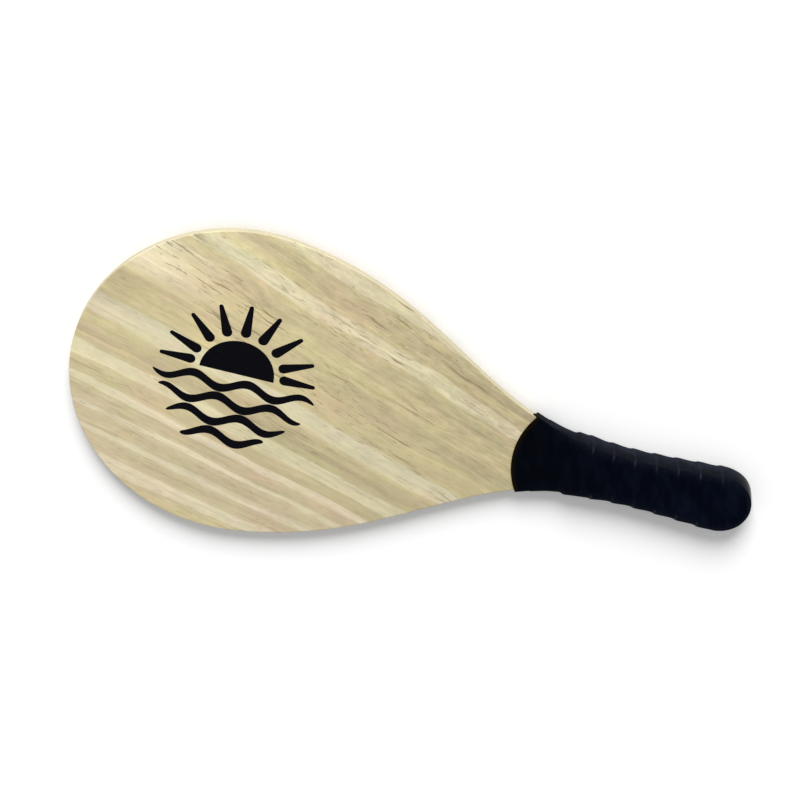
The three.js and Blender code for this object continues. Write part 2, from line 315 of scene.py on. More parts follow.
TURN = make_turn_shares()
LEAN = WINDING_LEAN * (1 - np.cos(2 * math.pi * TURN)) / 2
FIRST_X = WINDING_START_X + WINDING_FIRST
FIRST_TURN = -WINDING_FIRST / WINDING_PITCH
LAST_TURN = (WINDING_END_X - FIRST_X - RIDGE_RISE) / WINDING_PITCH
WEAR = CORNER_WEAR * FACE**WEAR_POWER * np.sin(WAY)
THORN = np.exp(-((TURN - THORN_PLACE) / THORN_WIDTH) ** 2)


def wound(x):
    """At x and for each column: how far it is past the winding's thick edge, in turns, the number of that
    turn, and how far the ridges are shown there."""
    past = (x - FIRST_X - LEAN) / WINDING_PITCH - TURN
    number = np.floor(past)
    laid = number + TURN
    fade = smooth(laid, FIRST_TURN, FIRST_TURN + RIDGE_FADE_TURNS)
    return past - number, number, fade * (1 - smooth(laid, LAST_TURN - RIDGE_FADE_TURNS, LAST_TURN))


def crest(place):
    """0 to 1 and back over a ridge's crest, by the place in turns past the thick edge."""
    along = place * WINDING_PITCH - CREST_START
    return smooth(along, 0, CREST_RISE) * (1 - smooth(along, CREST_RISE, CREST_END))


def nub(x):
    """The small uneven nubs, 0 to 1, where the thick edge crosses the grip's corners."""
    place, number, fade = wound(x)
    uneven = np.sin(NUB_VARIATION * number + CORNER)
    reach = FACE ** (NUB_POWER * (1 + NUB_UNEVEN * uneven)) * np.sin(WAY)
    height = fade * (1 - NUB_UNEVEN * (1 - uneven) / 2)
    return height * reach * crest(place)


def ridge(x):
    """How far the winding's thick edge lifts the rubber at x, for every column."""
    place, _, fade = wound(x)
    start = RIDGE_RISE / WINDING_PITCH
    step = smooth(place, 0, start) * (1 - smooth(place, start, RIDGE_FALL_END))
    corner = RIDGE_FACE_SHARE + (RIDGE_CORNER_SHARE - RIDGE_FACE_SHARE) * FACE**CROWN_POWER
    around = RIDGE_SIDE_SHARE + (corner - RIDGE_SIDE_SHARE) * np.sin(WAY) ** RIDGE_SIDE_POWER
    return RIDGE_HEIGHT * step * fade * around + NUB_HEIGHT * nub(x)


def rubbed(x):
    """How far the rubber is made paler at x, for every column: worn, with a painted highlight, on the nubs
    and on the ridges' crests at the sides, and faintly worn along the corners."""
    place, _, fade = wound(x)
    sides = CREST_WEAR_AND_HIGHLIGHT * fade * crest(place) * np.cos(WAY) ** 2
    return np.maximum(np.maximum(nub(x), WEAR * plump_at(x)), sides)


def plump_at(x):
    """How far the bulge and the crown show: not at all at the mouth and in full over the winding."""
    return smooth(x, MOUTH_X + PLUMP_SETBACK, WINDING_START_X)


def clean(mesh):
    """Merges a mesh's double points, drops its collapsed faces and turns its normals out."""
    work = bmesh.new()
    work.from_mesh(mesh)
    bmesh.ops.remove_doubles(work, verts=work.verts, dist=MERGE_DISTANCE)
    bmesh.ops.dissolve_degenerate(work, edges=work.edges, dist=MERGE_DISTANCE)
    bmesh.ops.recalc_face_normals(work, faces=work.faces)
    work.to_mesh(mesh)
    work.free()


def new_mesh(name, points, faces, sharp, marks=None):
    """A clean mesh object from points in millimetres, smooth up to the sharp angle. marks holds values of
    the points by name, for the materials."""
    mesh = bpy.data.meshes.new(name)
    place = (np.asarray(points, float) - [LENGTH / 2, 0, 0]) * MM
    mesh.from_pydata(place.tolist(), [], faces)
    for mark, values in (marks or {}).items():
        mesh.attributes.new(mark, "FLOAT", "POINT").data.foreach_set("value", np.asarray(values, np.float32))
    made = bpy.data.objects.new(name, mesh)
    bpy.context.scene.collection.objects.link(made)
    clean(mesh)
    mesh.shade_smooth()
    mesh.set_sharp_from_angle(angle=math.radians(sharp))
    return made


def loops_to_faces(rows, columns, start=0):
    """Quads between consecutive closed loops of points, whose numbers begin at start."""
    faces = []
    for i in range(rows - 1):
        for k in range(columns):
            a, b = start + i * columns + k, start + i * columns + (k + 1) % columns
            faces.append((a, b, b + columns, a + columns))
    return faces


def ply(node, place):
    """A veneer: its flat sides, its edge with fine grooves to its neighbours, eased if it is outermost."""
    sink = EDGE_SINKS[node.replace("_front", "").replace("_back", "")]
    low = (abs(place) - 0.5) * PLY
    high = low + PLY
    flat = FLAT_MARGIN + BLADE_EASING
    levels = [(flat, low), (sink + EDGE_GROOVE, low), (sink, low + EDGE_GROOVE)]
    if abs(place) == OUTERMOST:
        turn = np.linspace(0, math.pi / 2, EASING_STEPS + 1)
        levels += [(BLADE_EASING * (1 - math.cos(a)), high - BLADE_EASING * (1 - math.sin(a))) for a in turn]
    else:
        levels += [(sink, high - EDGE_GROOVE), (sink + EDGE_GROOVE, high)]
    levels += [(flat, high)]
    if place < 0:
        levels = [(inset, -z) for inset, z in levels][::-1]
    loop = [(1, inset, z) for inset, z in levels] + [(-1, inset, z) for inset, z in levels[::-1]]
    points = [
        (x - nx * inset, side * (y - ny * inset), MIDDLE_Z + z)
        for x, y, nx, ny in EDGE
        for side, inset, z in loop
    ]
    faces = loops_to_faces(len(EDGE), len(loop))
    return new_mesh(node.replace("ply", "veneer"), points, faces, WOOD_SHARP)


def mouth_rows():
    """x of every column at rows from the sleeve's mouth, which lies on an arc in plan, to a straight row."""
    x = np.full(len(COLUMNS), float(MOUTH_X))
    for _ in range(MOUTH_PASSES):
        point = section(x, *edge_at(x), outer_offset(x))
        y = np.clip(point[:, 1], -MOUTH_RADIUS, MOUTH_RADIUS)
        x = x + MOUTH_X + MOUTH_RADIUS - np.sqrt(MOUTH_RADIUS**2 - y * y) - point[:, 0]
    shares = np.linspace(0, 1, MOUTH_ROWS + 1)[:, None]
    return x + (MOUTH_ROWS_END - x) * shares


def sleeve():
    """The rubber sleeve: its inside from the butt to the mouth, a rounded lip, and its outside with the
    ridges from the mouth to the butt."""
    near = mouth_rows()
    mouth = near[0]
    bare = np.zeros(len(COLUMNS))
    rows, wear_and_highlights, lips = [], [], []

    def add(points, rub=bare, lip=bare):
        """Adds a row of points with its marks."""
        rows.append(points)
        wear_and_highlights.append(rub)
        lips.append(lip)

    def near_mouth(x, offset, plump=0.0):
        """A section with the thorn drawn out of it."""
        lift = THORN * np.exp(-(x - mouth) / THORN_FADE)
        points = section(x, *edge_at(x), offset + THORN_LIFT * lift, plump)
        points[:, 0] -= THORN_REACH * lift
        return points

    def tint(x):
        """The lip's tint, which ends a little way from the mouth."""
        return 1 - smooth(x - mouth, LIP_TINT / 2, LIP_TINT)

    for x, y, nx, ny in BUTT_ROWS[::-1]:
        add(section(x, y, nx, ny, inner_offset(x)))
    for x in np.arange(BUTT_ROWS[0][0] - INNER_ROW_STEP, MOUTH_ROWS_END, -INNER_ROW_STEP):
        add(section(x, *edge_at(x), inner_offset(x)))
    for x in near[::-MOUTH_INNER_STEP]:
        add(near_mouth(x, inner_offset(x)), lip=tint(x))
    low, high = inner_offset(mouth), outer_offset(mouth)
    for turn in np.linspace(0, math.pi, LIP_ROWS + 2)[1:-1]:
        offset = (low + high) / 2 - (high - low) / 2 * math.cos(turn)
        add(near_mouth(mouth - LIP_BULGE * math.sin(turn), offset), lip=bare + 1)
    for x in near:
        add(near_mouth(x, outer_offset(x) + ridge(x), plump_at(x)), rubbed(x), tint(x))
    for x in np.arange(MOUTH_ROWS_END + ROW_STEP, BUTT_ROWS[0][0], ROW_STEP):
        add(section(x, *edge_at(x), outer_offset(x) + ridge(x), plump_at(x)), rubbed(x))
    for x, y, nx, ny in BUTT_ROWS:
        add(section(x, y, nx, ny, outer_offset(x) + ridge(x), plump_at(x)), rubbed(x))
    points = np.concatenate(rows)
    points[:, 2] = np.maximum(points[:, 2], 0)
    marks = {"rubbed": np.concatenate(wear_and_highlights), "lip": np.concatenate(lips)}
    return new_mesh("sleeve_rubber", points, loops_to_faces(len(rows), len(COLUMNS)), RUBBER_SHARP, marks)


def winding():
    """The wound tape under the sleeve: one strip with a wedge section."""
    count = len(COLUMNS)
    first, last = WINDING_TURNS
    rows = []
    for i in range(first * count, last * count, WINDING_COLUMN_STEP):
        turn, k = divmod(i, count)
        x = FIRST_X + WINDING_PITCH * (turn + TURN[k]) + LEAN[k]
        low, high = max(x, WINDING_START_X), min(x + WINDING_WIDTH, WINDING_END_X)
        if high - low <= WINDING_LEAST:
            continue
        places = np.linspace(low, high, WINDING_POINTS)
        outer = GAP + WINDING_THICK - (WINDING_THICK - WINDING_THIN) * (places - x) / WINDING_WIDTH
        loop = [(p, GAP) for p in places] + list(zip(places, outer))[::-1]
        rows.append([section(p, *edge_at(p), offset)[k] for p, offset in loop])
    width = len(rows[0])
    ends = [tuple(range(width))[::-1], tuple(range((len(rows) - 1) * width, len(rows) * width))]
    faces = loops_to_faces(len(rows), width) + ends
    return new_mesh("winding_tape", np.concatenate(rows), faces, TAPE_SHARP)


# The print on the front: a half sun over wave lines, in millimetres from its own centre, +Y up
PRINT_X = -126
PRINT_Y = 8
PRINT_FILM = 0.05
PRINT_SINK = 0.02
SUN_RADIUS = 26
SUN_STEPS = 48
RAY_START = 33
RAY_END = 53
RAY_WIDTHS = (7.2, 3.0)
RAYS = 9
RAY_END_STEPS = 8
WAVE_TOP = -10
WAVE_SPACING = 14
WAVE_THICKNESS = 6.6
WAVE_RISE = 3.6
WAVE_PERIOD = 38
WAVE_HALVES = (57, 51, 42, 29)
WAVE_STEPS = 96
WAVE_TAPER_POWER = 4


def sun_outline():
    """The half disc of the sun."""
    turn = np.linspace(0, math.pi, SUN_STEPS + 1)
    return [(SUN_RADIUS * math.cos(a), SUN_RADIUS * math.sin(a)) for a in turn]


def ray_outline(i):
    """A ray of the sun, wider at its foot, with round ends. The two level ones stand clear of the waves."""
    a = math.pi * i / (RAYS - 1)
    along, over = Vector((math.cos(a), math.sin(a))), Vector((-math.sin(a), math.cos(a)))
    base, tip = [w / 2 for w in RAY_WIDTHS]
    cap = np.linspace(-math.pi / 2, math.pi / 2, RAY_END_STEPS + 1)
    shape = [along * (RAY_END + tip * math.cos(c)) + over * tip * math.sin(c) for c in cap]
    shape += [along * (RAY_START - base * math.cos(c)) - over * base * math.sin(c) for c in cap]
    raised = Vector((0, base if i in (0, RAYS - 1) else 0))
    return [tuple(p + raised) for p in shape]


def wave_outline(i, reach):
    """A wave line that tapers to both ends. Every second one is shifted by half a wave."""
    xs = np.linspace(-reach, reach, WAVE_STEPS + 1)
    swell = WAVE_RISE * np.sin(2 * math.pi * xs / WAVE_PERIOD + i * math.pi)
    middle = WAVE_TOP - WAVE_SPACING * i + swell
    thick = WAVE_THICKNESS / 2 * np.sqrt(np.clip(1 - (np.abs(xs) / reach) ** WAVE_TAPER_POWER, 0, 1))
    upper = list(zip(xs, middle + thick))
    lower = list(zip(xs, middle - thick))[::-1]
    return upper + lower[1:-1]


def face_print():
    """The print as a thin film of ink on the front veneer."""
    outlines = [sun_outline()] + [ray_outline(i) for i in range(RAYS)]
    outlines += [wave_outline(i, reach) for i, reach in enumerate(WAVE_HALVES)]
    face_z = MIDDLE_Z + BLADE_HALF
    points, faces = [], []
    for outline in outlines:
        count, start = len(outline), len(points)
        for z in (face_z - PRINT_SINK, face_z + PRINT_FILM):
            points += [(x + PRINT_X + LENGTH / 2, y + PRINT_Y, z) for x, y in outline]
        faces.append(tuple(range(start + count, start + 2 * count)))
        faces.append(tuple(range(start, start + count))[::-1])
        faces += loops_to_faces(2, count, start)
    return new_mesh("face_print", points, faces, INK_SHARP)


# Spans are written as low, high, the value at low and the value at high. The last two are left out where they
# are 0 and 1.

# Most values of a noise lie in the first range, and nearly all in the second
MOST_NOISE = (0.3, 0.7)
ALL_NOISE = (0.25, 0.75)

# The upward part of a normal, from where a surface is upright to where it is flat
UPRIGHT_TO_FLAT = (0.35, 0.8, 1, 0)


class Nodes:
    """Short calls for building the nodes of a material or of the world."""

    def __init__(self, owner):
        owner.use_nodes = True
        self.tree = owner.node_tree

    def link(self, source, socket):
        """Sets a socket to a number, colour or direction, or links it to the output of a node."""
        if isinstance(source, (int, float)):
            socket.default_value = source
        elif isinstance(source, tuple):
            socket.default_value = source if len(source) == len(socket.default_value) else (*source, 1)
        else:
            self.tree.links.new(source, socket)

    def node(self, kind, inputs, output=0, **settings):
        """One output of a new node with these settings and inputs."""
        made = self.tree.nodes.new("ShaderNode" + kind)
        for name, value in settings.items():
            setattr(made, name, value)
        for key, value in inputs.items():
            self.link(value, made.inputs[key])
        return made.outputs[output]

    def math(self, operation, *values):
        """The result of one operation on numbers."""
        return self.node("Math", dict(enumerate(values)), operation=operation)

    def times(self, a, b):
        return self.math("MULTIPLY", a, b)

    def minus(self, a, b):
        return self.math("SUBTRACT", a, b)

    def plus(self, total, *values):
        """The sum of two values or more."""
        for value in values:
            total = self.math("ADD", total, value)
        return total

    def dot(self, vector, direction):
        """How far a vector reaches along a direction."""
        return self.node("VectorMath", {0: vector, 1: direction}, "Value", operation="DOT_PRODUCT")

    def stretched(self, vector, factors):
        """A vector with each coordinate times its own factor."""
        return self.node("VectorMath", {0: vector, 1: factors}, operation="MULTIPLY")

    def scaled(self, colour, factor):
        """A colour times a grey factor."""
        return self.node("VectorMath", {0: colour, "Scale": factor}, operation="SCALE")

    def vector(self, x, y, z=0.0):
        return self.node("CombineXYZ", {0: x, 1: y, 2: z})

    def noise(self, vector, scale=1.0, detail=2.0, roughness=0.5):
        """A cloudy pattern of values from 0 to 1."""
        inputs = {"Vector": vector, "Scale": scale, "Detail": detail, "Roughness": roughness}
        return self.node("TexNoise", inputs, "Fac")

    def cells(self, vector):
        """The distance to the middle of the nearest cell, and a chance value of that cell."""
        node = self.tree.nodes.new("ShaderNodeTexVoronoi")
        self.link(vector, node.inputs["Vector"])
        self.link(1.0, node.inputs["Scale"])
        return node.outputs["Distance"], self.dot(node.outputs["Color"], (1, 0, 0))

    def span(self, value, low, high, to_low=0.0, to_high=1.0, kind="SMOOTHSTEP"):
        """The range low to high turned into to_low to to_high, eased at both ends and level outside."""
        inputs = dict(enumerate((value, low, high, to_low, to_high)))
        return self.node("MapRange", inputs, interpolation_type=kind)

    def even(self, value, low, high, to_low=0.0, to_high=1.0):
        """The same as span without easing."""
        return self.span(value, low, high, to_low, to_high, "LINEAR")

    def spread(self, noise, low, high):
        """A noise spread evenly between low and high."""
        return self.even(noise, *MOST_NOISE, low, high)

    def swing(self, noise, depth):
        """A noise as a swing about 0, by depth at most."""
        return self.even(noise, *ALL_NOISE, -depth, depth)

    def ramp(self, value, stops, kind):
        """A colour by the stops, each a place from 0 to 1 and a colour."""
        node = self.tree.nodes.new("ShaderNodeValToRGB")
        node.color_ramp.interpolation = kind
        elements = node.color_ramp.elements
        while len(elements) < len(stops):
            elements.new(0.5)
        for element, (place, colour) in zip(elements, stops):
            element.position = place
            element.color = (*colour, 1)
        self.link(value, node.inputs["Fac"])
        return node.outputs["Color"]

    def mix(self, share, a, b, blend="MIX"):
        """Colour a, with a share of b mixed in or multiplied on."""
        inputs = {"Factor": share, "A": a, "B": b}
        return self.node("Mix", inputs, "Result", data_type="RGBA", blend_type=blend)

    def seen_share(self):
        """1 where a ray from the camera meets the surface, straight or by way of a shine or glass, else 0."""
        path = self.tree.nodes.new("ShaderNodeLightPath")
        share = path.outputs["Is Camera Ray"]
        for name in ("Is Glossy Ray", "Is Transmission Ray"):
            share = self.math("MAXIMUM", share, path.outputs[name])
        return share


class Surface(Nodes):
    """The nodes of one material of the object. Its place is in metres in the row frame."""

    def __init__(self, name):
        self.material = bpy.data.materials.new(name)
        super().__init__(self.material)
        self.shader = self.tree.nodes["Principled BSDF"]
        self.place = self.node("TexCoord", {}, "Object")

    def edge_share(self, uneven=0.0):
        """1 where the surface stands upright in the row frame, and 0 on its flat faces. uneven shifts the
        border between the two."""
        height = self.math("ABSOLUTE", self.dot(self.node("TexCoord", {}, "Normal"), (0, 0, 1)))
        return self.span(self.plus(height, uneven), *UPRIGHT_TO_FLAT)

    def mark(self, name):
        """A value that the mesh keeps at its points."""
        return self.node("Attribute", {}, "Fac", attribute_name=name)

    def finished(self, values, relief, depth, strength):
        """The material, with values of its shader by name, and a bump by a relief and its depth in metres."""
        for name, value in values.items():
            self.link(value, self.shader.inputs[name])
        bump = self.node("Bump", {"Strength": strength, "Distance": depth, "Height": relief})
        self.link(bump, self.shader.inputs["Normal"])
        return self.material


def srgb(*levels):
    """A linear colour from display values out of 255."""
    shares = [level / 255 for level in levels]
    return tuple(c / 12.92 if c <= 0.04045 else ((c + 0.055) / 1.055) ** 2.4 for c in shares)


# Tones of the pale veneer
DARK_TAN = srgb(192, 177, 140)
TAN = srgb(200, 187, 146)
PINK_TAN = srgb(206, 191, 155)
YELLOW_TAN = srgb(209, 195, 151)
PALE = srgb(222, 212, 175)
COOL_PALE = srgb(218, 210, 176)
CREAM = srgb(224, 213, 180)
FLECK = srgb(138, 121, 88)
EDGE_PALE = srgb(204, 196, 168)
EDGE_TAN = srgb(194, 184, 155)

# The front veneer's grain: its angle off the axis, and its bands, each a place across the grain in
# millimetres and a tone
GRAIN_ANGLE = math.radians(20)
BANDS = [
    (-145, TAN), (-131, CREAM), (-126, PINK_TAN), (-120, PINK_TAN), (-115.5, CREAM), (-112, PINK_TAN),
    (-105, PINK_TAN), (-100.5, CREAM), (-97, PINK_TAN), (-90, PINK_TAN), (-86.5, CREAM), (-81, TAN),
    (-66, PALE), (-59.5, TAN), (-56, DARK_TAN), (-50, TAN), (-45, YELLOW_TAN), (-42, PALE), (-32, COOL_PALE),
    (-28, YELLOW_TAN), (-17, YELLOW_TAN), (-6, TAN), (10, YELLOW_TAN), (26, TAN), (31, YELLOW_TAN),
    (34, PALE), (42, PALE), (46, YELLOW_TAN), (55, DARK_TAN), (61, TAN), (67, PALE), (90, YELLOW_TAN),
]

# How fast the grain's lines close up towards the handle, how far patterns bend them and feather the bands'
# borders, and the share of crisp bands in the mix with soft ones
GRAIN_FAN = 0.75
GRAIN_BENDS = {"sway": 0.009, "ripple": 0.0035}
FEATHER = 0.0025
CRISP_SHARE = 0.6

# Patterns that follow the grain: how many fit in a metre along it and across it, a seed, and the noise's
# detail and roughness
PATTERNS = {
    "sway": (9, 11, 0.0, 1, 0.5),
    "ripple": (38, 60, 3.7, 2, 0.5),
    "feather": (9, 240, 15.2, 4, 0.5),
    "hue": (16, 40, 8.1, 2, 0.5),
    "tint": (58, 150, 9.6, 3, 0.5),
    "clouds": (11, 24, 3.3, 2, 0.5),
    "streaks": (7, 330, 1.3, 5, 0.68),
    "fibres": (90, 1500, 5.9, 3, 0.65),
    "mottle": (50, 135, 2.2, 4, 0.62),
    "chips": (170, 760, 7.7, 2, 0.6),
    "blots": (80, 220, 11.2, 3, 0.6),
    "dark_lines": (8, 300, 12.5, 3, 0.5),
    "pale_lines": (6, 240, 14.1, 3, 0.5),
    "clusters": (11, 62, 6.4, 2, 0.5),
    "smears": (34, 480, 4.6, 3, 0.6),
}

# Hue shifts: a pattern, the span of it over which the shift comes or goes, and factors on the colour
HUE_SHIFTS = [
    ("hue", (0.5, 0.66), (1.015, 0.965, 1.0)),
    ("hue", (0.34, 0.5, 1, 0), (0.985, 1.012, 0.99)),
    ("tint", (0.5, 0.68), (1.008, 0.98, 1.0)),
    ("tint", (0.32, 0.5, 1, 0), (1.0, 0.998, 0.955)),
]

# The wood's lightness, by spans along or across the grain: a painted light falloff that lightens the tip
# and darkens it towards the handle, less so at the rim on the -Y side, a painted shade along that rim, and
# the steps between pale and dark bands at the tip, which fade along the grain and are bleached where they
# are pale
PAINTED_FALL_ALONG = (-0.22, 0.12, 0.17, -0.21)
PAINTED_FALL_ACROSS = (-0.12, -0.06, 0.3, 1)
PAINTED_RIM_SHADE = (-0.11, -0.05, 0.97, 1)
TIP_STEPS = [
    (-0.05, -0.03, -0.03, -0.25), (-0.014, 0.002, 0, 0.65),
    (0.022, 0.033, 0, -0.4), (0.042, 0.05, 0, 0.4),
]
TIP_FADE = (-0.24, -0.13, 1, 0)
BLEACH = (0, 0.4)
BLEACH_TINT = (1.0, 1.02, 1.22)

# How much the patterns change the lightness: swings about it, blots that are fainter on the -Y side, and
# lines where a pattern is high
LIGHT_SWINGS = {"clouds": 0.07, "streaks": 0.09, "fibres": 0.035, "mottle": 0.09, "chips": 0.05}
BLOT_SWING = 0.16
BLOTS_ACROSS = (-0.04, 0.03, 0.3, 1)
LINE_DEPTHS = {"dark_lines": -0.08, "pale_lines": 0.09}
LINES = (0.57, 0.63)

# Flecks: how much they show, where they cluster, their smears, and their dashes: how many fit in a metre, how
# uneven their ends are, their size, the chance of one, and how much they show outside the clusters
FLECK_SHARE = 0.55
CLUSTERS = (0.44, 0.58)
CLUSTERS_ACROSS = (-0.11, 0.03, 0.5, 1.45)
SMEARS = (0.57, 0.68)
DASHES_ALONG = 150
DASHES_ACROSS = 680
DASH_JITTER = 2.5
DASH_SIZE = (0.15, 0.45, 1, 0)
DASH_CHANCE = (0.58, 0.8)
LONE_DASH_SHARE = 0.25

# The wood's shine, the veneer's roughness, the fibres of its edge, and how much its fibres, streaks and flecks
# show in its relief
WOOD_SHINE = 0.35
VENEER_ROUGH = (0.56, 0.68)
EDGE_FIBRES = (0.35, 0.7)
FIBRE_RELIEF = 0.5
STREAK_RELIEF = 0.35
FLECK_RELIEF = 0.8


class Grain:
    """A veneer's grain: places along and across it, and patterns that follow it. log shifts the patterns, so
    that veneers differ."""

    def __init__(self, n, angle, log):
        self.n = n
        self.log = log
        self.made = {}
        self.along = n.dot(n.place, (math.cos(angle), -math.sin(angle), 0))
        straight = n.dot(n.place, (math.sin(angle), math.cos(angle), 0))
        self.across = n.times(straight, n.math("EXPONENT", n.times(self.along, GRAIN_FAN)))
        # These two patterns follow the straight lines, and all others follow the bent ones
        bends = [n.times(n.minus(self.pattern(name), 0.5), reach) for name, reach in GRAIN_BENDS.items()]
        self.across = n.plus(self.across, n.plus(*bends))

    def pattern(self, name):
        """A pattern of the table, made once."""
        if name not in self.made:
            lengthwise, crosswise, seed, detail, roughness = PATTERNS[name]
            along, across = self.n.times(self.along, lengthwise), self.n.times(self.across, crosswise)
            place = self.n.vector(along, across, seed + self.log)
            self.made[name] = self.n.noise(place, detail=detail, roughness=roughness)
        return self.made[name]


def band_colour(n, grain, bands):
    """The bands' tones, in a mix of soft borders and crisp, feathered ones."""
    first, last = bands[0][0] * MM, bands[-1][0] * MM
    places = [(place * MM - first) / (last - first) for place, _ in bands]
    tones = [tone for _, tone in bands]
    borders = [0] + [(a + b) / 2 for a, b in zip(places, places[1:])]
    feathered = n.plus(grain.across, n.swing(grain.pattern("feather"), FEATHER))
    soft = n.ramp(n.even(grain.across, first, last), list(zip(places, tones)), "EASE")
    crisp = n.ramp(n.even(feathered, first, last), list(zip(borders, tones)), "CONSTANT")
    return n.mix(CRISP_SHARE, soft, crisp)


def tip_light(n, grain):
    """What the bands of the tip add to the wood's lightness."""
    steps = [n.span(grain.across, *step) for step in TIP_STEPS]
    return n.times(n.plus(*steps), n.span(grain.along, *TIP_FADE))


def wood_light(n, grain, tip):
    """The wood's lightness, as a factor on its colour, with painted light and painted shade in it."""
    # Painted light: lighter towards the tip and darker towards the handle, and painted shade along the -Y rim
    painted_fall = n.times(n.even(grain.along, *PAINTED_FALL_ALONG), n.span(grain.across, *PAINTED_FALL_ACROSS))
    blots = n.times(n.swing(grain.pattern("blots"), BLOT_SWING), n.span(grain.across, *BLOTS_ACROSS))
    swings = [n.swing(grain.pattern(name), depth) for name, depth in LIGHT_SWINGS.items()]
    lines = [n.span(grain.pattern(name), *LINES, 0, depth) for name, depth in LINE_DEPTHS.items()]
    return n.plus(painted_fall, n.span(grain.across, *PAINTED_RIM_SHADE), tip, blots, *swings, *lines)


def fleck_share(n, grain):
    """How dark the pores are: smears in clusters, and dashes that are fainter between them."""
    clusters = n.times(n.span(grain.pattern("clusters"), *CLUSTERS), n.span(grain.across, *CLUSTERS_ACROSS))
    smears = n.times(n.span(grain.pattern("smears"), *SMEARS), clusters)
    along = n.plus(n.times(grain.along, DASHES_ALONG), n.times(grain.pattern("chips"), DASH_JITTER))
    distance, chance = n.cells(n.vector(along, n.times(grain.across, DASHES_ACROSS)))
    dashes = n.times(n.span(distance, *DASH_SIZE), n.span(chance, *DASH_CHANCE))
    return n.math("MAXIMUM", n.times(dashes, n.even(clusters, 0, 1, LONE_DASH_SHARE, 1)), smears)


def veneer(name, bands, angle, log=0.0):
    """Pale veneer with bands, streaks, mottling and pores along its grain, and a plainer sanded edge."""
    n = Surface(name)
    grain = Grain(n, angle, log)
    fibres = grain.pattern("fibres")
    tip = tip_light(n, grain)
    flecks = fleck_share(n, grain)
    colour = band_colour(n, grain, bands)
    for pattern, reach, factors in HUE_SHIFTS:
        colour = n.mix(n.span(grain.pattern(pattern), *reach), colour, factors, "MULTIPLY")
    colour = n.mix(n.span(tip, *BLEACH), colour, BLEACH_TINT, "MULTIPLY")
    # The lightness scales the colour, painted light and shade included
    colour = n.scaled(colour, wood_light(n, grain, tip))
    colour = n.mix(n.times(flecks, FLECK_SHARE), colour, FLECK)
    colour = n.mix(n.edge_share(), colour, n.mix(n.span(fibres, *EDGE_FIBRES), EDGE_PALE, EDGE_TAN))
    relief = n.plus(n.times(fibres, FIBRE_RELIEF), n.times(grain.pattern("streaks"), STREAK_RELIEF))
    relief = n.minus(relief, n.times(flecks, FLECK_RELIEF))
    roughness = n.spread(fibres, *VENEER_ROUGH)
    finish = {"Base Color": colour, "Roughness": roughness, "Specular IOR Level": WOOD_SHINE}
    return n.finished(finish, relief, depth=0.00012, strength=0.35)


# How many fibres of plain wood fit in a metre along x, y and z, where they end at the blade's edge and where
# they lie along it, the span of them that shows, the broad change of tone, and the roughness
END_GRAIN = (900, 900, 2600)
LONG_GRAIN = (120, 120, 3200)
PLAIN_FIBRES = (0.35, 0.68)
PLAIN_TONES = (0.95, 1.05)
PLAIN_ROUGH = (0.55, 0.72)


def plain_wood(name, light_tone, dark_tone, grain):
    """Plain wood with fibres between two tones, for what shows at the blade's edge and for the cheeks."""
    n = Surface(name)
    fibres = n.noise(n.stretched(n.place, grain), detail=3, roughness=0.6)
    broad = n.noise(n.place, scale=45, detail=2)
    colour = n.mix(n.span(fibres, *PLAIN_FIBRES), light_tone, dark_tone)
    colour = n.scaled(colour, n.spread(broad, *PLAIN_TONES))
    roughness = n.spread(fibres, *PLAIN_ROUGH)
    finish = {"Base Color": colour, "Roughness": roughness, "Specular IOR Level": WOOD_SHINE}
    return n.finished(finish, fibres, depth=0.0001, strength=0.5)


# Tones of the rubber: its faces, its fine pebbles, the painted sheen of its upright sides, worn spots with
# painted highlights, and the lip
RUBBER_DARK = srgb(0, 2, 10)
RUBBER_LIGHT = srgb(4, 8, 19)
PEBBLE = srgb(6, 10, 22)
SIDE_SHEEN_DARK = srgb(16, 19, 28)
SIDE_SHEEN_LIGHT = srgb(27, 29, 39)
WEAR_AND_HIGHLIGHT = srgb(44, 48, 58)
LIP = srgb(15, 9, 1)

# Where the rubber is lighter: towards the butt, and on its sides towards the floor, where their painted
# sheen is painted lighter still as a rim highlight
BUTT_LIGHT = (0.06, 0.22, 0.6, 1.5)
SIDE_SHEEN_BY_HEIGHT = (0.002, 0.015, 1.3, 0.5)

# The rubber's patterns: the directions and fineness of its smears, spans of its noises, how far the border of
# its painted side sheen strays, how much the worn spots with painted highlights show, its roughness, and how
# much skin and pebbles show in its relief
SMEAR_WAYS = ((150, 45, 0), (0, 60, 0), (0, 0, 90))
SMEAR_SPAN = (0.35, 0.7)
PEBBLE_SPAN = (0.55, 0.75, 0, 0.5)
LUMP_SPAN = (0.35, 0.68)
LUMPY_BORDER = 0.25
WEAR_AND_HIGHLIGHT_SPAN = (0.3, 0.6, 0.35, 1)
WEAR_AND_HIGHLIGHT_SHARE = 0.95
RUBBER_ROUGH = (0.52, 0.64)
SKIN_RELIEF = 0.4
PEBBLE_RELIEF = 0.6


